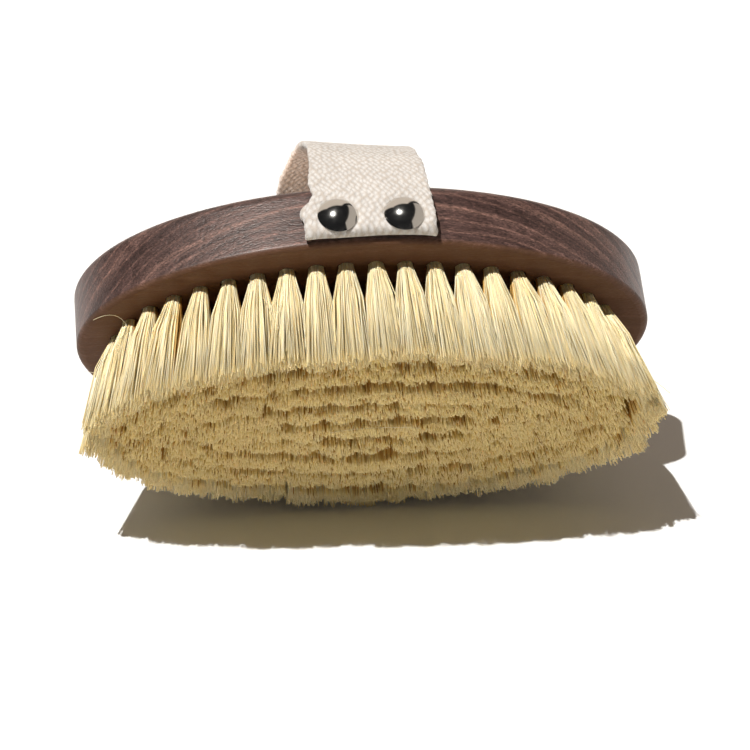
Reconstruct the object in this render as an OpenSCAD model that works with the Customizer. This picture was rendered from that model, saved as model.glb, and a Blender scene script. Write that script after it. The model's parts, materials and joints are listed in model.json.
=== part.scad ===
// Oval body brush with a cotton hand strap, lying on its long edge on a flat surface.
// It rests on the two dome heads of its lower side and on its lowest bristle tips.
// Each sub-part is drawn in the brush's own axes: X along the block, Y across it, and Z
// through its thickness, with the underside at Z = 0, bristles below and strap above.
// lay_down() then turns the whole brush into its resting place, with +Z up.

/* [Block] */
// Length of the wooden block
block_length = 135; // [125:1:150]
// Width of the wooden block
block_width = 77.6; // [75:0.1:84]
// Thickness of the wooden block
block_thickness = 17; // [14:0.5:22]
// Rounding of the block's edges on the strap side
top_round = 3; // [1:0.5:4]
// Rounding of the block's edges on the bristle side
bottom_round = 1.2; // [0.6:0.2:2]

/* [Bristles] */
// Free length of the bristles below the block
bristle_length = 26; // [18:1:34]
// Distance from the block's outline to the middle of the outer ring of tufts
outer_inset = 9.2; // [8.8:0.1:10]
// Least distance between neighbouring tufts in one ring
tuft_pitch = 6.6; // [6.5:0.1:7.4]
// Diameter of a tuft where it leaves the block
tuft_root_d = 3.8; // [3:0.1:4]
// Diameter of a tuft at its tips
tuft_tip_d = 6; // [4.5:0.1:6]
// Outward lean of the tufts at the ends of the block, as a share of their distance from the middle
end_splay = 0.069; // [0:0.005:0.08]
// Depth of the blind hole that holds a tuft
bore_depth = 7; // [5.5:0.5:9]

/* [Strap] */
// Width of the strap
strap_width = 28.6; // [26:0.1:34]
// Thickness of one layer of the strap
strap_thickness = 1.75; // [1.4:0.05:2]
// Sideways offset of the strap from the middle of the block
strap_offset = -1.6; // [-3:0.1:3]
// Height of the strap's outer face above the block's strap side
arch_height = 30.4; // [26:0.2:34]
// Height of the folded hem at each end of the strap
hem_height = 11.5; // [10:0.5:12.5]

/* [Heads] */
// Diameter of a dome head
head_d = 9.3; // [8:0.1:10]
// Height of a dome head
head_height = 2.3; // [2.2:0.1:3.2]
// Distance between the two heads on one side
head_spacing = 15; // [13:0.5:16]
// Height of the heads above the block's underside
head_level = 5.3; // [5.2:0.1:6.5]
// Diameter of a nail's shank
nail_d = 1.8; // [1.4:0.1:2]
// Depth that a nail goes into the wood
nail_depth = 6.4; // [4:0.2:6.6]

/* [Hidden] */

half_l = block_length / 2;
half_w = block_width / 2;
gap = 0.05;                 // clearance between neighbouring pieces
nail_gap = 0.02;            // clearance between a nail and the wood
small = 0.01;

// The strap: two upright legs against the block's sides, joined by a half circle
strap_inner = half_w + gap + strap_thickness;
strap_outer = strap_inner + strap_thickness;
arch_centre = block_thickness + arch_height - strap_outer;
hem_foot = 0.3;

// A dome head is a cap of a sphere, hollow inside
cap_wall = 0.5;
cap_seat = strap_outer + gap;
cap_sphere = (pow(head_d / 2, 2) + pow(head_height, 2)) / (2 * head_height);
cap_centre = cap_seat + head_height - cap_sphere;
nail_head_r = 0.68 * head_d / 2;
nail_head_h = 0.6;
nail_point = 1.6;

// Tufts and the flat wire anchors at the bottom of their holes. Four rings of tufts stand
// around a straight middle row, and the distance across the block is the same between them.
ring_count = 4;
middle = ring_count + 1;
ring_gap = (half_w - outer_inset) / ring_count;
bore_gap = 0.05;
collar = 0.4;
anchor_height = 1.4;
anchor_thickness = 0.4;
anchor_length = tuft_root_d - 0.3;
oval_steps = 720;
fine = 240;
round_fn = 48;

// The angle at which the brush leans over, so that heads and tips touch the surface together
tip_edge = half_w - outer_inset + tuft_tip_d / 2;
rest_rise = head_level + bristle_length;
rest_run = cap_centre - tip_edge;
lean = atan2(rest_run, rest_rise) + asin(cap_sphere / norm([rest_rise, rest_run]));
rest_drop = cap_centre * cos(lean) - head_level * sin(lean) + cap_sphere;
reach_strap = arch_centre * cos(lean) + strap_outer;
reach_tips = tip_edge * sin(lean) + bristle_length * cos(lean);
rest_shift = (reach_tips - reach_strap) / 2;

// Half length and half width of the oval on which ring k stands, where the tufts leave the wood
function ring_a(k) = half_l - outer_inset - (k - 1) * ring_gap;
function ring_b(k) = half_w - outer_inset - (k - 1) * ring_gap;

// A point of an oval, its turn counted from the middle of the front long side
function oval_point(a, b, turn) = [a * sin(turn), -b * cos(turn)];
function oval_heading(a, b, turn) = atan2(b * sin(turn), a * cos(turn));
function oval_step(a, b, i) =
    norm(oval_point(a, b, (i + 1) * 360 / oval_steps) - oval_point(a, b, i * 360 / oval_steps));

// Table of length along an oval against turn, used to space the tufts evenly
function oval_table(a, b) = [
    for (i = 0, run = 0; i <= oval_steps; run = run + oval_step(a, b, i), i = i + 1)
        [run, i * 360 / oval_steps]
];

// An even number of tufts round an oval, with one at the middle of each long side. A slim
// oval has one at each end too, so the tufts there don't crowd. Each place is
// [x, y, heading along the ring].
function ring_places(a, b) =
    let (
        table = oval_table(a, b),
        total = table[oval_steps][0],
        multiple = a > 4 * b ? 4 : 2,
        count = multiple * floor(total / tuft_pitch / multiple)
    )
    [
        for (i = [0 : count - 1])
            let (turn = lookup(total * i / count, table))
                concat(oval_point(a, b, turn), oval_heading(a, b, turn))
    ];

// An odd number of tufts in a straight row along the block's middle
function row_places(a) =
    let (count = floor(a / tuft_pitch))
    [for (i = [-count : count]) [a * i / count, 0, 0]];

function places(k) = k == middle ? row_places(ring_a(k)) : ring_places(ring_a(k), ring_b(k));

// Turns the brush from its own axes onto its long edge, standing on Z = 0
module lay_down() {
    translate([0, rest_shift, rest_drop])
        rotate([lean - 90, 0, 0])
            children();
}

// Half of the block's section across its width, a hair thicker than the block itself
module block_section() {
    inside = half_w - top_round;
    top = block_thickness + small;
    union() {
        translate([0, -small])
            square([inside, top + small]);
        translate([0, bottom_round - small])
            square([half_w, top - top_round - bottom_round + small]);
        translate([0, -small])
            square([half_w - bottom_round, top - top_round + small]);
        translate([inside, top - top_round])
            circle(r = top_round, $fn = round_fn);
        translate([half_w - bottom_round, bottom_round - small])
            circle(r = bottom_round, $fn = round_fn);
    }
}

// The oval block without its holes: a round puck stretched lengthwise, its faces cut flat
module block_blank() {
    intersection() {
        scale([half_l / half_w, 1, 1])
            rotate_extrude($fn = fine)
                block_section();
        translate([-block_length, -block_width, 0])
            cube([2 * block_length, 2 * block_width, block_thickness]);
    }
}

// Puts its children on each tuft of ring k, with -Z along the bristles and X along the ring
module at_tufts(k) {
    for (place = places(k))
        translate([place[0], place[1], 0])
            rotate([0, -atan2(end_splay * place[0], bristle_length), 0])
                rotate([0, 0, place[2]])
                    children();
}

// Puts its children at the two nails on one side, with +Z pointing out of the block's edge
module at_nail(back, right) {
    translate([strap_offset + (right ? 1 : -1) * head_spacing / 2, 0, head_level])
        rotate([back ? -90 : 90, 0, 0])
            children();
}

module wooden_block() {
    color([0.36, 0.25, 0.22])
        lay_down()
            difference() {
                block_blank();
                for (k = [1 : middle])
                    at_tufts(k)
                        translate([0, 0, -1])
                            cylinder(d = tuft_root_d + 2 * bore_gap, h = bore_depth + 1, $fn = round_fn);
                for (back = [false, true], right = [false, true])
                    at_nail(back, right)
                        translate([0, 0, half_w - nail_depth - gap])
                            cylinder(d = nail_d + 2 * nail_gap, h = nail_depth + 1, $fn = round_fn);
            }
}

// An upright arch: a half circle of radius r on straight legs, standing on the hem's foot
module arch(r) {
    intersection() {
        union() {
            translate([0, arch_centre])
                circle(r = r, $fn = fine);
            translate([-r, 0])
                square([2 * r, arch_centre]);
        }
        translate([-2 * r, hem_foot])
            square([4 * r, 4 * r]);
    }
}

// Section of the strap across the block: the arch, and a folded layer in against the wood
module strap_section() {
    difference() {
        arch(strap_outer);
        difference() {
            arch(strap_inner);
            for (side = [0, 1])
                mirror([side, 0])
                    translate([half_w + gap, 0])
                        square([2 * strap_thickness, hem_height]);
        }
    }
}

module hand_strap() {
    color([0.88, 0.84, 0.78])
        lay_down()
            difference() {
                translate([strap_offset - strap_width / 2, 0, 0])
                    rotate([90, 0, 90])
                        linear_extrude(height = strap_width)
                            strap_section();
                for (back = [false, true], right = [false, true])
                    at_nail(back, right)
                        translate([0, 0, half_w - 1])
                            cylinder(d = nail_d + 2 * gap, h = 2 * strap_thickness + 3, $fn = round_fn);
            }
}

module dome_cap(back, right) {
    color([0.72, 0.71, 0.69])
        lay_down()
            at_nail(back, right)
                intersection() {
                    translate([0, 0, cap_centre])
                        difference() {
                            sphere(r = cap_sphere, $fn = 96);
                            sphere(r = cap_sphere - cap_wall, $fn = 96);
                        }
                    translate([0, 0, cap_seat])
                        cylinder(d = 2 * head_d, h = 2 * head_height, $fn = round_fn);
                }
}

module nail(back, right) {
    shank = cap_seat - half_w + nail_depth;
    color([0.6, 0.6, 0.6])
        lay_down()
            at_nail(back, right)
                rotate_extrude($fn = round_fn)
                    polygon([
                        [0, half_w - nail_depth],
                        [nail_d / 2, half_w - nail_depth + nail_point],
                        [nail_d / 2, cap_seat],
                        [nail_head_r, cap_seat],
                        [nail_head_r, cap_seat + nail_head_h],
                        [0, cap_seat + nail_head_h]
                    ]);
}

// One tuft: a straight root in the wood, then bristles that spread towards their tips
module tuft() {
    root_length = bore_depth - anchor_height - 3 * gap;
    rotate_extrude($fn = round_fn)
        polygon([
            [0, root_length],
            [tuft_root_d / 2, root_length],
            [tuft_root_d / 2, -collar],
            [tuft_tip_d / 2, -bristle_length],
            [0, -bristle_length]
        ]);
}

module tuft_ring(k) {
    color([0.9, 0.8, 0.55])
        lay_down()
            at_tufts(k)
                tuft();
}

module anchor_ring(k) {
    color([0.75, 0.73, 0.66])
        lay_down()
            at_tufts(k)
                translate([-anchor_length / 2, -anchor_thickness / 2, bore_depth - anchor_height - gap])
                    cube([anchor_length, anchor_thickness, anchor_height]);
}

wooden_block();
hand_strap();
dome_cap(false, false);  // dome_cap_front_left
dome_cap(false, true);  // dome_cap_front_right
dome_cap(true, false);  // dome_cap_back_left
dome_cap(true, true);  // dome_cap_back_right
nail(false, false);  // nail_front_left
nail(false, true);  // nail_front_right
nail(true, false);  // nail_back_left
nail(true, true);  // nail_back_right
tuft_ring(1);  // tuft_ring_1
tuft_ring(2);  // tuft_ring_2
tuft_ring(3);  // tuft_ring_3
tuft_ring(4);  // tuft_ring_4
tuft_ring(middle);  // tuft_middle_row
anchor_ring(1);  // anchor_ring_1
anchor_ring(2);  // anchor_ring_2
anchor_ring(3);  // anchor_ring_3
anchor_ring(4);  // anchor_ring_4
anchor_ring(middle);  // anchor_middle_row
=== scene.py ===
"""Looks of the body brush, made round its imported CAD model, in metres in the row frame.

The brush lies on its long edge. Its own axes come from the record's bristle mount: ALONG is the
block's length, ACROSS its width with the front side at minus, and UP its thickness, from the
bristles towards the strap. The zero point is the middle of the block's underside.
"""

import json
import math

import bpy
import numpy as np
from mathutils import Matrix, Vector


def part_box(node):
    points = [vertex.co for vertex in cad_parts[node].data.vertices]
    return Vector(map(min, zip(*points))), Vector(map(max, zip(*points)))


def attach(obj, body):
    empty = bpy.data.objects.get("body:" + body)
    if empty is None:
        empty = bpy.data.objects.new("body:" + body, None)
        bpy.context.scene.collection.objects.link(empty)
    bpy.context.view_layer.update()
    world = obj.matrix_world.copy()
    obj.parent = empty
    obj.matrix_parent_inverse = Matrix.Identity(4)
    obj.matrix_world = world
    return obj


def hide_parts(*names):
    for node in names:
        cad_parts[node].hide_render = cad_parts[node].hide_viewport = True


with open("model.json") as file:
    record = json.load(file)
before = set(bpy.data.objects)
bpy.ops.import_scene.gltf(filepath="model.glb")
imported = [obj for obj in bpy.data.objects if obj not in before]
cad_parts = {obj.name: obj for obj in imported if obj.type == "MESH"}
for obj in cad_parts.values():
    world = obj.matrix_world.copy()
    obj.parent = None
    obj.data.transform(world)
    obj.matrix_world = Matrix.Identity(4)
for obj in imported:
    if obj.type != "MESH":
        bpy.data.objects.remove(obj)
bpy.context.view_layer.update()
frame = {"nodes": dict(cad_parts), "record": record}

MM = 0.001
record = frame["record"]
nodes = frame["nodes"]
tips_mount = next(m for m in record["mounts"] if m["name"] == "bristle_face")
BRISTLE_LENGTH = 0.026
ALONG = Vector((1, 0, 0))
UP = -Vector(tips_mount["axis"]).normalized()
ACROSS = UP.cross(ALONG)
ZERO = Vector(tips_mount["pos_m"]) + BRISTLE_LENGTH * UP
AXES = np.array([ALONG, ACROSS, UP])


def to_row(points):
    """Points in the brush's own axes, in metres, turned into the row frame."""
    return np.asarray(points) @ AXES + np.array(ZERO)


def to_brush(points):
    """Points of the row frame in the brush's own axes, in metres."""
    return (np.asarray(points) - np.array(ZERO)) @ AXES.T


def direction(side, ahead, high):
    """A direction given in the brush's own axes, as one in the row frame."""
    return (side * ALONG + ahead * ACROSS + high * UP).normalized()


# ---------------------------------------------------------------- node helpers


class Nodes:
    """A material's node tree, with short calls for the nodes that this scene uses."""

    def __init__(self, name):
        self.material = bpy.data.materials.new(name)
        self.material.use_nodes = True
        self.tree = self.material.node_tree
        self.tree.nodes.clear()
        self.output = self.tree.nodes.new("ShaderNodeOutputMaterial")

    def link(self, value, socket):
        if isinstance(value, bpy.types.NodeSocket):
            self.tree.links.new(value, socket)
        else:
            socket.default_value = value

    def add(self, kind, values=(), **settings):
        node = self.tree.nodes.new("ShaderNode" + kind)
        for key, value in settings.items():
            setattr(node, key, value)
        for key, value in dict(values).items():
            self.link(value, node.inputs[key])
        return node

    def math(self, operation, a, b=0.0, c=0.0):
        node = self.add("Math", {0: a, 1: b, 2: c}, operation=operation)
        return node.outputs[0]

    def dot(self, vector, axis):
        node = self.add("VectorMath", {0: vector, 1: axis}, operation="DOT_PRODUCT")
        return node.outputs["Value"]

    def noise(self, vector, scale, detail=3.0, roughness=0.55):
        values = {"Vector": vector, "Scale": scale, "Detail": detail, "Roughness": roughness}
        return self.add("TexNoise", values).outputs[0]

    def ramp(self, value, stops):
        node = self.add("ValToRGB", {0: value})
        ramp = node.color_ramp
        while len(ramp.elements) < len(stops):
            ramp.elements.new(0.5)
        for element, (place, colour) in zip(ramp.elements, stops):
            element.position = place
            element.color = (*colour, 1)
        return node.outputs[0]

    def grey_ramp(self, value, low, high, dark=0.0, light=1.0):
        node = self.add(
            "MapRange",
            {"Value": value, "From Min": low, "From Max": high, "To Min": dark, "To Max": light},
        )
        return node.outputs[0]

    def mix(self, factor, a, b, blend="MIX"):
        node = self.add("Mix", data_type="RGBA", blend_type=blend)
        self.link(factor, node.inputs[0])
        self.link(a, node.inputs[6])
        self.link(b, node.inputs[7])
        return node.outputs[2]

    def bump(self, height, distance, strength):
        values = {"Height": height, "Distance": distance, "Strength": strength}
        return self.add("Bump", values).outputs[0]

    def brush_axes(self):
        """The point being shaded in the brush's own axes: three numbers, in metres."""
        at = self.add("TexCoord").outputs["Object"]
        moved = self.add("VectorMath", {0: at, 1: ZERO}, operation="SUBTRACT").outputs[0]
        return [self.dot(moved, axis) for axis in (ALONG, ACROSS, UP)]

    def combine(self, x, y, z):
        return self.add("CombineXYZ", {0: x, 1: y, 2: z}).outputs[0]

    def surface(self, **values):
        shader = self.add("BsdfPrincipled", subsurface_method="BURLEY")
        for key, value in values.items():
            self.link(value, shader.inputs[key.replace("_", " ")])
        self.tree.links.new(shader.outputs[0], self.output.inputs["Surface"])
        return self.material


# ---------------------------------------------------------------- materials


LAYER_STEP = 0.52 * MM


def wood_material():
    """Dark oiled hardwood, its grain along the block and its growth layers on a slant.

    The underside is painted a darker, warmer brown as shade and as the warm light that reaches it
    only by way of the bristles, and it is rougher.
    """
    n = Nodes("dark_wood")
    x, y, z = n.brush_axes()
    drift = n.noise(n.combine(n.math("MULTIPLY", x, 0.25), y, z), 45, 2)
    layer = n.math("MULTIPLY_ADD", y, 0.75, z)
    layer = n.math("MULTIPLY_ADD", drift, 0.006, layer)
    rings = n.noise(n.combine(n.math("MULTIPLY", x, 0.02), layer, 0.0), 230, 5, 0.66)
    streaks = n.noise(n.combine(n.math("MULTIPLY", x, 0.05), y, layer), 900, 3, 0.6)
    pores = n.noise(n.combine(n.math("MULTIPLY", x, 0.2), y, z), 3000, 2, 0.5)
    phase = n.math("DIVIDE", layer, LAYER_STEP)
    turns = n.math("MULTIPLY_ADD", n.noise(n.combine(x, y, z), 60, 3), 7.0, phase)
    lines = n.grey_ramp(n.math("SINE", turns), 0.62, 1.0)
    glint_flecks = n.noise(n.combine(n.math("MULTIPLY", x, 0.4), y, z), 2700, 1, 0.5)
    body = n.ramp(
        rings,
        [
            (0.32, (0.032, 0.016, 0.014)),
            (0.46, (0.066, 0.034, 0.029)),
            (0.57, (0.100, 0.054, 0.045)),
            (0.64, (0.170, 0.092, 0.072)),
            (0.70, (0.105, 0.057, 0.047)),
        ],
    )
    lines = n.math("MULTIPLY", lines, n.grey_ramp(rings, 0.38, 0.58, 0.12, 0.45))
    body = n.mix(lines, body, (0.27, 0.145, 0.112, 1))
    body = n.mix(1.0, body, n.grey_ramp(streaks, 0.32, 0.70, 0.62, 1.34), "MULTIPLY")
    body = n.mix(1.0, body, n.grey_ramp(pores, 0.36, 0.48, 0.45, 1.0), "MULTIPLY")
    # painted highlight: small light flecks multiplied into the colour stand for glints on the
    # satin finish; they also add small bumps
    body = n.mix(1.0, body, n.grey_ramp(glint_flecks, 0.54, 0.68, 1.0, 1.7), "MULTIPLY")
    # painted light and shade: the underside's colour is mixed towards a dark warm brown for its
    # shade and for the warm light from the bristles; the same mask makes it rougher
    under = n.grey_ramp(z, 0.0002, 0.0012, 1.0, 0.0)
    body = n.mix(n.math("MULTIPLY", under, 0.75), body, (0.120, 0.045, 0.010, 1))
    relief = n.math("MULTIPLY_ADD", pores, 0.6, n.math("MULTIPLY", streaks, 0.5))
    relief = n.math("MULTIPLY_ADD", glint_flecks, 0.5, relief)
    rough = n.grey_ramp(streaks, 0.3, 0.7, 0.36, 0.50)
    rough = n.math("MULTIPLY_ADD", under, 0.35, rough)
    return n.surface(
        Base_Color=body,
        Roughness=rough,
        Specular_IOR_Level=0.42,
        Specular_Tint=(1.0, 0.93, 0.88, 1),
        Coat_Weight=0.14,
        Coat_Roughness=0.32,
        Normal=n.bump(relief, 0.00018, 0.8),
    )


def metal_material(name, colour, roughness, marks):
    """Bare metal with faint marks: polished for the dome heads, drawn for nails and wire."""
    n = Nodes(name)
    at = n.add("TexCoord").outputs["Object"]
    cloud = n.noise(at, 700, 3)
    fine = n.noise(at, 9000, 2)
    return n.surface(
        Base_Color=colour,
        Metallic=1.0,
        Roughness=n.grey_ramp(cloud, 0.3, 0.7, roughness * 0.8, roughness * 1.25),
        Normal=n.bump(fine, marks, 0.5),
    )


TONES = 32


def fibre_material():
    """Plant bristle: each fibre has one of TONES straw tones.

    The lower half of the tones is pale and for the outer side, which the light falls on; their
    ends are painted golden as shade. The upper half is for the tufts' inside and is painted with
    its shade: a warmer ochre, painted brown below the tips, with painted light on the cut end.
    """
    n = Nodes("plant_fibre")
    uv = n.add("UVMap", uv_map="OFBake").outputs[0]
    split = n.add("SeparateXYZ", {0: uv})
    tone, along = split.outputs[0], split.outputs[1]
    pale = n.ramp(
        n.math("MULTIPLY", tone, 2.0),
        [
            (0.00, (0.860, 0.730, 0.430)),
            (0.35, (0.890, 0.790, 0.520)),
            (0.70, (0.920, 0.850, 0.620)),
            (0.88, (0.880, 0.770, 0.480)),
            (1.00, (0.790, 0.630, 0.330)),
        ],
    )
    # painted shade: the inside tones are a warmer, darker ochre than the pale ones, as the fibres
    # look in the tufts' shade, and vary at random
    shaded_tones = n.ramp(
        n.math("MULTIPLY_ADD", tone, 2.0, -1.0),
        [
            (0.00, (0.850, 0.660, 0.270)),
            (0.50, (0.890, 0.750, 0.370)),
            (0.76, (0.760, 0.540, 0.190)),
            (0.90, (0.400, 0.200, 0.050)),
        ],
    )
    # painted shade: all of each inside fibre but its last millimetre is mixed towards brown, for
    # the shade below the tips
    below = n.grey_ramp(along, 0.88, 0.965, 1.0, 0.0)
    shaded_tones = n.mix(n.math("MULTIPLY", below, 0.55), shaded_tones, (0.64, 0.31, 0.055, 1))
    # painted light: the cut ends are lightened where they catch the light
    lit_cut_end = n.grey_ramp(along, 0.97, 0.99)
    shaded_tones = n.mix(n.math("MULTIPLY", lit_cut_end, 0.75), shaded_tones, (0.95, 0.81, 0.45, 1))
    # painted shade: the ends of the pale fibres are mixed towards golden ochre, as they lie out of
    # the direct light
    shaded_pale_ends = n.grey_ramp(along, 0.90, 0.99)
    pale = n.mix(n.math("MULTIPLY", shaded_pale_ends, 0.45), pale, (0.90, 0.72, 0.34, 1))
    colour = n.mix(n.math("GREATER_THAN", tone, 0.5), pale, shaded_tones)
    blotch = n.noise(n.combine(n.math("MULTIPLY", tone, 40.0), along, 0.0), 5, 2)
    colour = n.mix(1.0, colour, n.grey_ramp(blotch, 0.3, 0.7, 0.90, 1.06), "MULTIPLY")
    return n.surface(
        Base_Color=colour,
        Roughness=n.grey_ramp(blotch, 0.3, 0.7, 0.48, 0.62),
        Specular_IOR_Level=0.15,
        Subsurface_Weight=0.35,
        Subsurface_Radius=(1.0, 0.75, 0.4),
        Subsurface_Scale=0.0005,
    )


YARN_WIDTH = 1.7 * MM
YARN_PITCH = 2.2 * MM


def weave_height(n, across, along):
    """Height of a plain weave of thick yarns, each knot a rounded bead; both are in metres."""
    column = n.math("DIVIDE", across, YARN_WIDTH)
    row = n.math("DIVIDE", along, YARN_PITCH)
    lattice = n.combine(n.math("ADD", column, row), n.math("SUBTRACT", column, row), 0.0)
    values = {"Vector": lattice, "Scale": 1.0, "Randomness": 0.45}
    beads = n.add("TexVoronoi", values, voronoi_dimensions="2D")
    return n.grey_ramp(beads.outputs["Distance"], 0.12, 0.62, 1.0, 0.0)


def cotton_material():
    """Heavy off-white cotton webbing: yarn knots in staggered rows, with fuzz between them."""
    n = Nodes("cotton_webbing")
    uv = n.add("UVMap", uv_map="cloth").outputs[0]
    at = n.add("TexCoord").outputs["Object"]
    split = n.add("SeparateXYZ", {0: uv})
    wander = n.math("SUBTRACT", n.noise(at, 700, 2), 0.5)
    across = n.math("MULTIPLY_ADD", wander, 0.0007, split.outputs[0])
    along = n.math("MULTIPLY_ADD", wander, -0.0006, split.outputs[1])
    turned = n.math("MULTIPLY_ADD", across, 0.16, along)
    knots = weave_height(n, across, turned)
    fuzz = n.noise(at, 5200, 3, 0.65)
    soil = n.noise(at, 130, 3)
    # painted shade: the colour is darker and browner in the hollows between the yarn knots
    colour = n.ramp(
        knots,
        [
            (0.00, (0.60, 0.535, 0.470)),
            (0.50, (0.695, 0.650, 0.605)),
            (1.00, (0.765, 0.735, 0.700)),
        ],
    )
    colour = n.mix(1.0, colour, n.grey_ramp(soil, 0.3, 0.7, 0.93, 1.05), "MULTIPLY")
    colour = n.mix(1.0, colour, n.grey_ramp(fuzz, 0.3, 0.7, 0.84, 1.10), "MULTIPLY")
    height = n.math("MULTIPLY_ADD", fuzz, 0.7, knots)
    return n.surface(
        Base_Color=colour,
        Roughness=n.grey_ramp(fuzz, 0.3, 0.7, 0.85, 0.97),
        Specular_IOR_Level=0.2,
        Sheen_Weight=0.25,
        Sheen_Roughness=0.5,
        Normal=n.bump(height, 0.00026, 0.8),
    )


# ---------------------------------------------------------------- mesh helpers


def mesh_piece(name, points, faces, material):
    """A smooth-shaded mesh object on the CAD body, its points given in the brush's own axes."""
    mesh = bpy.data.meshes.new(name)
    mesh.from_pydata(to_row(points).tolist(), [], faces)
    mesh.polygons.foreach_set("use_smooth", [True] * len(mesh.polygons))
    mesh.materials.append(material)
    piece = bpy.data.objects.new(name, mesh)
    bpy.context.scene.collection.objects.link(piece)
    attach(piece, "root")
    return piece


def give_uv(piece, name, uv):
    """A UV layer with one (u, v) for each corner of each face, in order."""
    layer = piece.data.uv_layers.new(name=name)
    layer.data.foreach_set("uv", np.asarray(uv, dtype=np.float32).ravel())


# ---------------------------------------------------------------- bristles

END_ZONE = 1.2 * MM


def tuft_axes(node):
    """Where each tuft of a CAD node leaves the wood and ends: arrays of roots and tips."""
    mesh = nodes[node].data
    co = np.empty(len(mesh.vertices) * 3)
    mesh.vertices.foreach_get("co", co)
    co = to_brush(co.reshape(-1, 3))
    edges = np.empty(len(mesh.edges) * 2, dtype=int)
    mesh.edges.foreach_get("vertices", edges)
    edges = edges.reshape(-1, 2)
    _, same = np.unique(np.round(co, 6), axis=0, return_inverse=True)
    same = same.ravel()
    group = np.arange(same.max() + 1)
    pairs = same[edges]
    while True:
        low = np.minimum(group[pairs[:, 0]], group[pairs[:, 1]])
        before = group.copy()
        np.minimum.at(group, pairs[:, 0], low)
        np.minimum.at(group, pairs[:, 1], low)
        group = group[group]
        if (group == before).all():
            break
    points = np.zeros((same.max() + 1, 3))
    points[same] = co
    roots, tips = [], []
    for g in np.unique(group):
        part = points[group == g]
        bottom = part[part[:, 2] < part[:, 2].min() + END_ZONE]
        top = part[part[:, 2] > part[:, 2].max() - END_ZONE]
        low, high = (bottom.min(0) + bottom.max(0)) / 2, (top.min(0) + top.max(0)) / 2
        axis = (low - high) / (low[2] - high[2])
        roots.append(high - axis * high[2])
        tips.append(high - axis * (high[2] + BRISTLE_LENGTH))
    return np.array(roots), np.array(tips)


FULL_TURN = 6.28
FIBRE_RADIUS = 0.155 * MM
ROOT_DEPTH = 1.2 * MM
NECK = 0.2 * MM
OPENING = 1.9
# corners of a fibre's cross-section, and the shares of its length where its line has a point
SIDES = 3
STATIONS = np.array([0.0, 0.05, 0.38, 1.0])
LOOSE_STATIONS = np.linspace(0, 1, 10)
# bundles that a tuft ends in, how far the tips spread towards the block's ends, and the shares
# of its fibres that stand off and that are cut short
BUNDLES = 13
WIDEN = 0.03
STRAY_SHARE = 0.025
SHORT_SHARE = 0.18
RINGS = ["tuft_ring_1", "tuft_ring_2", "tuft_ring_3", "tuft_ring_4", "tuft_middle_row"]
FIBRES_PER_TUFT = [236, 280, 320, 320, 320]
# start, point it bends towards and end of each loose fibre, in mm in the brush's own axes
LOOSE_FIBRES = [
    ((-10.7, -1.6, -26.5), (-1.0, -4.6, -26.9), (10.0, -2.3, -26.6)),
    ((-55.5, -10.0, -3.0), (-57.5, -20.0, -2.0), (-64.0, -19.5, -5.5)),
    ((-60.0, -5.5, -12.0), (-62.5, -12.0, -15.0), (-66.5, -16.0, -17.0)),
    ((-26.5, -27.5, -5.0), (-24.5, -30.5, -12.0), (-22.5, -30.0, -20.0)),
    ((-20.3, -28.9, -4.0), (-23.0, -31.5, -11.0), (-24.5, -31.0, -18.0)),
    ((57.5, -10.0, -14.0), (62.5, -12.0, -20.0), (67.5, -11.0, -25.0)),
    ((60.0, -4.0, -13.0), (65.0, -7.0, -18.0), (68.0, -6.0, -26.5)),
    ((40.3, -23.0, -6.0), (42.5, -28.5, -13.0), (41.5, -29.5, -21.0)),
    ((13.8, -29.8, -5.0), (17.0, -32.5, -12.0), (17.0, -31.5, -21.0)),
]


def disc_points(rng, count):
    """Evenly scattered points in a disc of radius 1."""
    i = np.arange(count) + 0.5
    radius = np.sqrt(i / count)
    angle = i * math.pi * (3 - math.sqrt(5)) + rng.uniform(0, FULL_TURN)
    spread = np.stack([radius * np.cos(angle), radius * np.sin(angle)], -1)
    return spread + rng.normal(0, 0.045, (count, 2))


def ring_headings(roots):
    """The direction along the ring at each tuft of an oval ring or a straight row."""
    a, b = np.abs(roots[:, 0]).max(), max(np.abs(roots[:, 1]).max(), 0.1 * MM)
    along = np.stack([-roots[:, 1] / b**2, roots[:, 0] / a**2], -1)
    along[np.linalg.norm(along, axis=1) < 1e-9] = (1, 0)
    if b < 1 * MM:
        along[:] = (1, 0)
    return along / np.linalg.norm(along, axis=1)[:, None]


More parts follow.
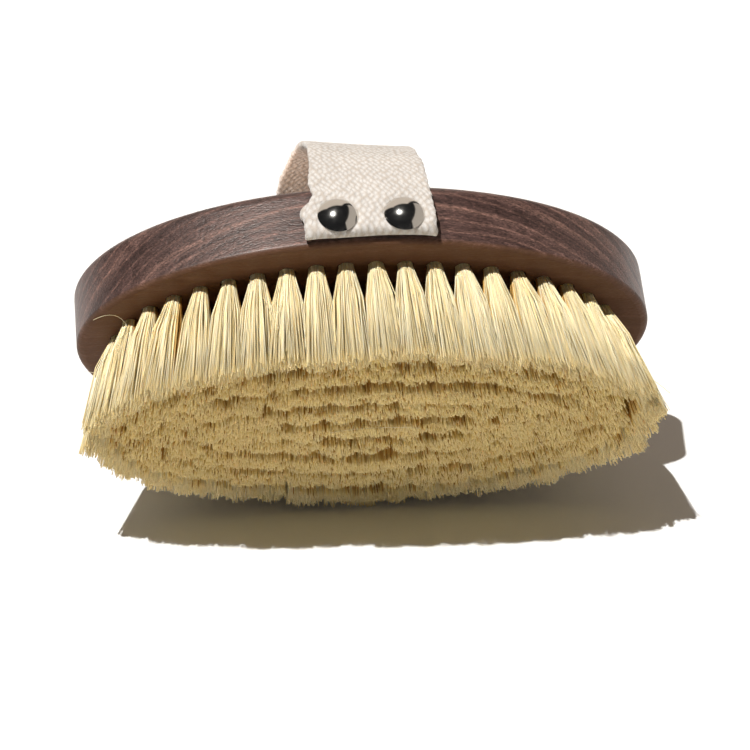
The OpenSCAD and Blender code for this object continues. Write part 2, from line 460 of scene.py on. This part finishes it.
def tuft_lines(rng, root, tip, heading, count):
    """Middle lines of one tuft's fibres, as an array of fibre, station and place.

    The fibres end in small bundles, each cut at a slightly different length. The tuft's end is
    domed and a little longer at the front, so that the tufts show as rows of steps.
    """
    spots = disc_points(rng, count)
    turn = np.array([heading, (-heading[1], heading[0])])
    root_r = rng.uniform(1.5, 1.7) * MM
    # where the fibres end, seen from the tips
    reach_in = rng.uniform(3.05, 3.5) + 1.0 * abs(heading[1])
    spread = np.array([rng.uniform(4.3, 4.8), reach_in]) * MM
    lean = rng.normal(0, 0.42 * MM, 2) + np.array([WIDEN * root[0], 0])
    hubs = disc_points(rng, BUNDLES) * 0.9
    bundle = np.linalg.norm(spots[:, None] - hubs[None], axis=2).argmin(1)
    pulled = spots + (hubs[bundle] - spots) * 0.16
    scatter = rng.normal(0, 0.22 * MM, (count, 2))
    stray = rng.random(count) < STRAY_SHARE
    scatter[stray] += np.clip(rng.normal(0, 0.9 * MM, (stray.sum(), 2)), -1.5 * MM, 1.5 * MM)
    fan = (pulled * spread) @ turn + lean + scatter
    # how much of its length each fibre lacks
    cut = rng.normal(0, 0.30 * MM, BUNDLES)[bundle] + rng.normal(0, 0.34 * MM, count)
    short = rng.random(count) < SHORT_SHARE
    cut[short] += rng.uniform(0.6, 2.6, short.sum()) * MM
    rim = np.linalg.norm(spots, axis=1) ** 2
    backward = (spots @ turn)[:, 1]
    cut += (0.9 * rim + 0.45 * backward - 0.4 + rng.normal(0, 0.4)) * MM
    reach = BRISTLE_LENGTH - np.clip(cut, -0.6 * MM, 5 * MM)
    # the middle lines, which stay together in the neck and then open
    axis = (tip - root)[:2] / BRISTLE_LENGTH
    bow = rng.normal(0, 0.26 * MM, (count, 2))
    lines = np.empty((count, len(STATIONS), 3))
    for k, t in enumerate(STATIONS):
        share = max((t - STATIONS[1]) / (1 - STATIONS[1]), 0)
        down = NECK + (reach - NECK) * share if k else -ROOT_DEPTH
        opened = 1 - (1 - share) ** OPENING
        spot = (spots * root_r) @ turn * (1 - opened) + fan * opened
        lines[:, k, :2] = root[:2] + spot + bow * 4 * share * (1 - share)
        lines[:, k, :2] += axis * np.broadcast_to(down, count)[:, None]
        lines[:, k, 2] = -down
    outward = (spots @ turn) @ root[:2] > -0.5 * np.linalg.norm(root[:2])
    return lines, outward


def sweep(rng, lines, stations, outer, radius):
    """Three-sided fibres swept along their middle lines: points, faces and UVs.

    Outer fibres take one of the pale tones and the rest one of the tones painted with the tufts'
    shade.
    """
    count, rings, _ = lines.shape
    turn = rng.uniform(0, FULL_TURN, count)[:, None] + np.arange(SIDES) * 2 * math.pi / SIDES
    ring = np.stack([np.cos(turn), np.sin(turn), np.zeros_like(turn)], -1)
    thick = radius * rng.uniform(0.82, 1.15, count)[:, None, None, None]
    taper = np.linspace(1.0, 0.9, rings)[None, :, None, None]
    points = lines[:, :, None, :] + ring[:, None, :, :] * thick * taper
    base = np.arange(count)[:, None, None] * rings * SIDES
    k = np.arange(rings - 1)[None, :, None] * SIDES
    s = np.arange(SIDES)[None, None, :]
    s2 = (s + 1) % SIDES
    a, b = base + k + s, base + k + s2
    quads = np.stack([a, b, b + SIDES, a + SIDES], -1).reshape(-1, 4)
    ends = (base[:, 0, 0] + (rings - 1) * SIDES)[:, None] + np.arange(SIDES)[None, :]
    # outer fibres take the pale tones; all others take the tones painted with shade
    tone = np.floor(rng.random(count) * TONES / 2) + np.where(outer, 0, TONES // 2)
    tone = tone[:, None, None]
    u0 = (tone + 0.2 + 0.2 * s) / TONES + 0 * k
    u1 = u0 + 0.2 / TONES
    v0 = stations[:-1][None, :, None] + 0 * u0
    v1 = stations[1:][None, :, None] + 0 * u0
    quad_uv = np.stack([u0, v0, u1, v0, u1, v1, u0, v1], -1).reshape(-1, 2)
    low, high = (tone[:, 0, 0] + 0.2) / TONES, (tone[:, 0, 0] + 0.8) / TONES
    tip = np.ones(count)
    end_uv = np.stack([low, tip - 0.01, high, tip - 0.01, (low + high) / 2, tip], -1)
    faces = quads.tolist() + ends.tolist()
    return points.reshape(-1, 3), faces, np.concatenate([quad_uv, end_uv.reshape(-1, 2)])


def bent_lines(ends):
    """Middle lines of loose fibres, each a curve from one point by a second to a third, in mm."""
    t = LOOSE_STATIONS[None, :, None]
    a, b, c = (np.array([e[k] for e in ends])[:, None, :] * MM for k in range(3))
    return a * (1 - t) ** 2 + 2 * b * t * (1 - t) + c * t * t


def above_floor(lines):
    """Middle lines with every point that would dip into the floor lifted onto it."""
    row = to_row(lines)
    row[..., 2] = np.maximum(row[..., 2], FIBRE_RADIUS)
    return to_brush(row)


def bristle_ring(node, count, seed, material, loose=()):
    """The fibres of every tuft of one CAD ring, as one piece that stands for it."""
    rng = np.random.default_rng(seed)
    roots, tips = tuft_axes(node)
    places = zip(roots, tips, ring_headings(roots))
    made = [tuft_lines(rng, root, tip, heading, count) for root, tip, heading in places]
    lines = above_floor(np.concatenate([m[0] for m in made]))
    outer = np.concatenate([m[1] for m in made]) & (node == RINGS[0])
    points, faces, uv = sweep(rng, lines, STATIONS, outer, FIBRE_RADIUS)
    if loose:
        pale = np.ones(len(loose), dtype=bool)
        extra = sweep(rng, bent_lines(loose), LOOSE_STATIONS, pale, 0.7 * FIBRE_RADIUS)
        faces += [[corner + len(points) for corner in face] for face in extra[1]]
        points, uv = np.concatenate([points, extra[0]]), np.concatenate([uv, extra[2]])
    piece = mesh_piece(node.replace("tuft", "bristles"), points, faces, material)
    give_uv(piece, "OFBake", uv)
    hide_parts(node)


# ---------------------------------------------------------------- strap

STRAP_LOW, STRAP_HIGH = (to_brush(p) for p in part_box("hand_strap"))
STRAP_WIDTH = float(STRAP_HIGH[0] - STRAP_LOW[0])
BLOCK_HALF_LENGTH = 67.5 * MM
BLOCK_HALF_WIDTH = 38.85 * MM
LAYER = 1.75 * MM
FOLD_FOOT = 0.7 * MM
HEM_TOP = 11.3 * MM
ARCH_CENTRE = 5.05 * MM
STRAP_STEP = 0.42 * MM
YARN_BUMP = 1.28 * MM


def smooth(value):
    """0 below 0, 1 above 1, with a soft turn at both."""
    t = np.clip(value, 0, 1)
    return t * t * (3 - 2 * t)


def strap_path():
    """Middle line of the folded strap: distance run, (y, z) places and angle round the arch."""
    inner, outer = BLOCK_HALF_WIDTH + LAYER / 2, BLOCK_HALF_WIDTH + 1.5 * LAYER
    fold = LAYER / 2
    low = FOLD_FOOT + LAYER
    front = [(-inner, z) for z in np.arange(HEM_TOP, low, -STRAP_STEP)]
    turns = max(4, round(math.pi * fold / STRAP_STEP) + 2)
    for a in np.linspace(0, math.pi, turns):
        front.append((-(inner + outer) / 2 + fold * math.cos(a), low - fold * math.sin(a)))
    front += [(-outer, z) for z in np.arange(low + STRAP_STEP, ARCH_CENTRE, STRAP_STEP)]
    steps = round(math.pi * outer / STRAP_STEP)
    bow = [
        (-outer * math.cos(a), ARCH_CENTRE + outer * math.sin(a))
        for a in np.linspace(0, math.pi, steps)
    ]
    line = np.array(front + bow + [(-y, z) for y, z in reversed(front)])
    turned = np.arctan2(np.maximum(line[:, 1] - ARCH_CENTRE, 0), -line[:, 0])
    run = np.concatenate([[0], np.cumsum(np.linalg.norm(np.diff(line, axis=0), axis=1))])
    return run, line, turned


def strap_edges(run, line, turned):
    """Where the left and the right edge lie along the block, at each place of the run."""
    rng = np.random.default_rng(7)

    def wobble(size, length):
        knots = rng.normal(0, size, int(run[-1] / length) + 3)
        return np.interp(run / length, np.arange(len(knots)), knots)

    # the arch is a little skewed
    left = STRAP_LOW[0] + np.maximum(3.2 * MM * np.sin(2 * turned), -0.6 * MM)
    right = STRAP_HIGH[0] - 1.1 * MM * np.sin(np.minimum(1.6 * turned, math.pi))
    # the selvedges are uneven, with a small bump at each yarn
    yarns = run / YARN_BUMP * math.pi
    left = left + wobble(0.14 * MM, 3 * MM) + 0.09 * MM * np.sin(yarns)
    right = right + wobble(0.14 * MM, 3 * MM) + 0.09 * MM * np.sin(yarns + 1)
    # the folded front end pokes out at the left, below a shallow notch
    front_end = (line[:, 0] < 0) & (line[:, 0] > -BLOCK_HALF_WIDTH - LAYER)
    poke = np.exp(-(((line[:, 1] - 8.3 * MM) / (2.0 * MM)) ** 2))
    left = left - np.where(front_end, 1.5 * MM * poke, 0)
    notch = np.exp(-(((line[:, 1] - 12 * MM) / (2.4 * MM)) ** 2)) * (line[:, 0] < 0)
    return left + 0.9 * MM * notch, right


def strap_outline():
    """Cross-section of the webbing, its edges round: shares of the width and half thickness."""
    across = np.linspace(0, 1, 58)
    bend = np.linspace(0, math.pi, 6)[1:-1]
    bulge = 0.018
    loop = [(t, 1.0) for t in across]
    loop += [(1 + bulge * math.sin(a), math.cos(a)) for a in bend]
    loop += [(t, -1.0) for t in across[::-1]]
    loop += [(-bulge * math.sin(a), -math.cos(a)) for a in bend]
    return np.array(loop)


def press_legs(x, y, z, heads):
    """The legs' places across the block: flat under the heads, and close to the oval elsewhere."""
    side = np.sign(y)
    hug = smooth((16 * MM - z) / (12 * MM))
    shrink = BLOCK_HALF_WIDTH * (1 - np.sqrt(np.clip(1 - (x / BLOCK_HALF_LENGTH) ** 2, 0, 1)))
    near = np.zeros_like(x)
    for hx, hz in heads:
        reach = np.hypot(x - hx, z - hz)
        near = np.maximum(near, 1 - smooth((reach - 5.0 * MM) / (5 * MM)))
        outside = np.abs(y) > BLOCK_HALF_WIDTH + LAYER
        ridge = np.exp(-(((reach - 6.6 * MM) / (1.2 * MM)) ** 2))
        seat = 1 - smooth((reach - 4.5 * MM) / (0.9 * MM))
        y = y + side * np.where(outside, 0.26 * MM * ridge - 0.12 * MM * seat, 0)
    return y - side * shrink * hug * (1 - near) * 0.85


def tube_faces(rings, around):
    """Faces of a closed tube whose points come ring by ring, with a cap at both ends."""
    k = np.arange(rings - 1)[:, None] * around
    s = np.arange(around)[None, :]
    s2 = (s + 1) % around
    faces = np.stack([k + s, k + around + s, k + around + s2, k + s2], -1).reshape(-1, 4).tolist()
    faces.append(list(range(around)))
    faces.append(list(range((rings - 1) * around, rings * around))[::-1])
    return faces


def build_strap(material, heads):
    """Cotton webbing, folded under at both ends, pressed in round the heads and a little wavy."""
    run, line, turned = strap_path()
    tangent = np.gradient(line, axis=0)
    tangent /= np.linalg.norm(tangent, axis=1)[:, None]
    normal = np.stack([-tangent[:, 1], tangent[:, 0]], -1)
    arched = np.sin(turned)[:, None]
    left, right = strap_edges(run, line, turned)
    loop = strap_outline()
    thick = LAYER * 0.94 / 2

    x = left[:, None] + (right - left)[:, None] * loop[None, :, 0]
    y = line[:, 0][:, None] + normal[:, 0][:, None] * thick * loop[None, :, 1]
    z = line[:, 1][:, None] + normal[:, 1][:, None] * thick * loop[None, :, 1]
    tilt = (0.5 - loop[:, 0])[None, :] * 2
    z = z + arched * (1.5 * MM * tilt - 0.6 * MM)
    y = press_legs(x, y, z, heads)
    z = z + 0.32 * MM * np.sin(x / (4.7 * MM) + 1.0) * smooth((4 * MM - z) / (4 * MM))
    ripple = np.sin(x / (6.5 * MM) + run[:, None] / (11 * MM)) * 0.16 * MM
    y = y + ripple * normal[:, 0][:, None] * arched
    z = z + ripple * normal[:, 1][:, None] * arched

    points = np.stack([x, y, z], -1).reshape(-1, 3)
    piece = mesh_piece("strap_webbing", points, tube_faces(*x.shape), material)
    u = (loop[:, 0] * STRAP_WIDTH)[None, :] + 0 * run[:, None]
    v = run[:, None] + 0 * u
    flat = np.stack([u, v], -1).reshape(-1, 2)
    corners = np.empty(len(piece.data.loops), dtype=int)
    piece.data.loops.foreach_get("vertex_index", corners)
    give_uv(piece, "cloth", flat[corners])
    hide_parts("hand_strap")


# ---------------------------------------------------------------- studio


def plane(name, size, middle, facing, material):
    """A stage rectangle that faces one way."""
    mesh = bpy.data.meshes.new(name)
    w, h = size[0] / 2, size[1] / 2
    mesh.from_pydata([(-w, -h, 0), (w, -h, 0), (w, h, 0), (-w, h, 0)], [], [(0, 1, 2, 3)])
    mesh.materials.append(material)
    item = bpy.data.objects.new(name, mesh)
    turned = facing.to_track_quat("Z", "Y").to_matrix().to_4x4()
    item.matrix_world = Matrix.Translation(middle) @ turned
    bpy.context.scene.collection.objects.link(item)
    return item


def emission(name, colour):
    n = Nodes(name)
    glow = n.add("Emission", {"Color": (*colour, 1), "Strength": 1.0})
    n.tree.links.new(glow.outputs[0], n.output.inputs["Surface"])
    return n.material


def floor_material():
    n = Nodes("pale_floor")
    at = n.add("TexCoord").outputs["Object"]
    cloud = n.noise(at, 9, 3)
    tint = n.mix(cloud, (0.86, 0.86, 0.86, 1), (0.88, 0.88, 0.88, 1))
    return n.surface(Base_Color=tint, Roughness=0.9, Specular_IOR_Level=0.1)


def wall(name, low, high, facing, colour):
    """A dim studio wall between two corners on the ground plan, seen only in reflections."""
    middle = (Vector(low) + Vector(high)) / 2
    size = ((Vector(high) - Vector(low)).xy.length, high[2] - low[2])
    item = plane(name, size, middle, facing, emission(name, colour))
    item.visible_camera = False
    item.visible_diffuse = False
    item.visible_shadow = False


def build_world(low, high, colour):
    """White to the camera, a warm fill from above and behind, and nearly black in reflections."""
    world = bpy.data.worlds.new("studio")
    bpy.context.scene.world = world
    world.use_nodes = True
    tree = world.node_tree
    tree.nodes.clear()

    def background(shade, strength):
        node = tree.nodes.new("ShaderNodeBackground")
        node.inputs[0].default_value = (*shade, 1)
        node.inputs[1].default_value = strength
        return node

    fill, dark = background(colour, 1.0), background((0.014, 0.014, 0.015), 1.0)
    white = background((1, 1, 1), 1.1)
    facing = tree.nodes.new("ShaderNodeVectorMath")
    facing.operation = "DOT_PRODUCT"
    facing.inputs[1].default_value = (0, 0.6, 0.8)
    tree.links.new(tree.nodes.new("ShaderNodeTexCoord").outputs["Generated"], facing.inputs[0])
    rise = tree.nodes.new("ShaderNodeMapRange")
    tree.links.new(facing.outputs["Value"], rise.inputs["Value"])
    rise.inputs["From Min"].default_value = 0.4
    rise.inputs["To Min"].default_value = low
    rise.inputs["To Max"].default_value = high
    tree.links.new(rise.outputs[0], fill.inputs[1])
    path = tree.nodes.new("ShaderNodeLightPath")
    glossy, seen = (tree.nodes.new("ShaderNodeMixShader") for _ in range(2))
    tree.links.new(path.outputs["Is Glossy Ray"], glossy.inputs[0])
    tree.links.new(fill.outputs[0], glossy.inputs[1])
    tree.links.new(dark.outputs[0], glossy.inputs[2])
    tree.links.new(path.outputs["Is Camera Ray"], seen.inputs[0])
    tree.links.new(glossy.outputs[0], seen.inputs[1])
    tree.links.new(white.outputs[0], seen.inputs[2])
    output = tree.nodes.new("ShaderNodeOutputWorld")
    tree.links.new(seen.outputs[0], output.inputs[0])


def build_light(name, travel, strength, spread, colour, reflected=True):
    """A sun whose light travels one way; spread is its apparent size in degrees."""
    lamp = bpy.data.lights.new(name, "SUN")
    lamp.energy = strength
    lamp.angle = math.radians(spread)
    lamp.color = colour
    item = bpy.data.objects.new(name, lamp)
    item.visible_glossy = reflected
    item.rotation_mode = "QUATERNION"
    item.rotation_quaternion = travel.to_track_quat("-Z", "Y")
    bpy.context.scene.collection.objects.link(item)


def build_spot(name, place, aim, power, cone, colour):
    """A small spot for one shaded face; its place and aim are in the brush's own axes."""
    lamp = bpy.data.lights.new(name, "SPOT")
    lamp.energy = power
    lamp.spot_size = math.radians(cone)
    lamp.spot_blend = 1.0
    lamp.shadow_soft_size = 3 * MM
    lamp.color = colour
    item = bpy.data.objects.new(name, lamp)
    item.visible_glossy = False
    item.rotation_mode = "QUATERNION"
    travel = Vector(to_row(aim)) - Vector(to_row(place))
    item.rotation_quaternion = travel.to_track_quat("-Z", "Y")
    item.location = Vector(to_row(place))
    bpy.context.scene.collection.objects.link(item)


def build_camera(aim, pitch, yaw, roll, distance, lens):
    """A long-lens camera that looks at aim; its angles are in degrees, in the brush's own axes."""
    pitch, yaw, roll = (math.radians(v) for v in (pitch, yaw, roll))
    ahead = direction(
        math.sin(yaw) * math.cos(pitch), math.cos(yaw) * math.cos(pitch), math.sin(pitch)
    )
    level = direction(math.cos(yaw), -math.sin(yaw), 0)
    upright = level.cross(ahead)
    right = level * math.cos(roll) + upright * math.sin(roll)
    up = upright * math.cos(roll) - level * math.sin(roll)
    back = -ahead
    data = bpy.data.cameras.new("camera")
    data.lens = lens
    data.sensor_width = 36
    camera = bpy.data.objects.new("camera", data)
    place = Matrix((right, up, back)).transposed().to_4x4()
    place.translation = Vector(to_row(aim)) + back * distance
    camera.matrix_world = place
    bpy.context.scene.collection.objects.link(camera)
    bpy.context.scene.camera = camera


# ---------------------------------------------------------------- the scene

wood = wood_material()
nickel = metal_material("polished_nickel", (0.78, 0.76, 0.72, 1), roughness=0.13, marks=0.004 * MM)
steel = metal_material("drawn_steel", (0.56, 0.55, 0.53, 1), roughness=0.34, marks=0.012 * MM)
fibre = fibre_material()
cotton = cotton_material()
FIRST_SEED = 100


def finish_node(name, material):
    """Gives a CAD node its material."""
    mesh = nodes[name].data
    mesh.materials.clear()
    mesh.materials.append(material)


for node_name in nodes:
    if node_name.startswith("dome_cap"):
        finish_node(node_name, nickel)
    elif node_name.startswith(("nail", "anchor")):
        finish_node(node_name, steel)
    elif node_name == "wooden_block":
        finish_node(node_name, wood)

for index, ring_node in enumerate(RINGS):
    loose = LOOSE_FIBRES if index == 0 else ()
    bristle_ring(ring_node, FIBRES_PER_TUFT[index], FIRST_SEED + index, fibre, loose)


def head_places():
    """The front heads' places along and up the block, in the brush's own axes."""
    found = []
    for side in ("left", "right"):
        low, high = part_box("dome_cap_front_" + side)
        middle = to_brush((low + high) / 2)
        found.append((middle[0], middle[2]))
    return found


build_strap(cotton, head_places())

plane("floor", (8, 8), Vector((0, 0, 0)), Vector((0, 0, 1)), floor_material())
build_world(low=0.02, high=0.46, colour=(1.0, 0.82, 0.66))
build_light(
    "key",
    travel=direction(0.315, 0.918, -0.238),
    strength=4.1,
    spread=0.9,
    colour=(1.0, 0.985, 0.96),
)
build_light(
    "front_fill",
    travel=Vector((0.1, 1.0, -0.12)),
    strength=0.21,
    spread=100,
    colour=(1.0, 0.92, 0.80),
    reflected=False,
)
build_spot(
    "strap_glow",
    place=(-0.055, -0.012, 0.021),
    aim=(-0.012, -0.008, 0.043),
    power=0.066,
    cone=42,
    colour=(1.0, 0.68, 0.48),
)
wall(
    "back_wall",
    low=(-1.78, 1.6, 0),
    high=(0.82, 1.6, 2.5),
    facing=Vector((0, -1, 0)),
    colour=(0.68, 0.59, 0.51),
)
wall(
    "right_wall",
    low=(1.6, 2.28, 0),
    high=(1.6, -2.05, 1.6),
    facing=Vector((-1, 0, 0)),
    colour=(0.48, 0.43, 0.38),
)
build_camera(
    aim=(0.001364, 0, -0.010054),
    pitch=33.013,
    yaw=8.346,
    roll=-6.476,
    distance=0.6944,
    lens=142.97,
)

scene = bpy.context.scene
scene.view_settings.view_transform = "Standard"
scene.view_settings.look = "None"
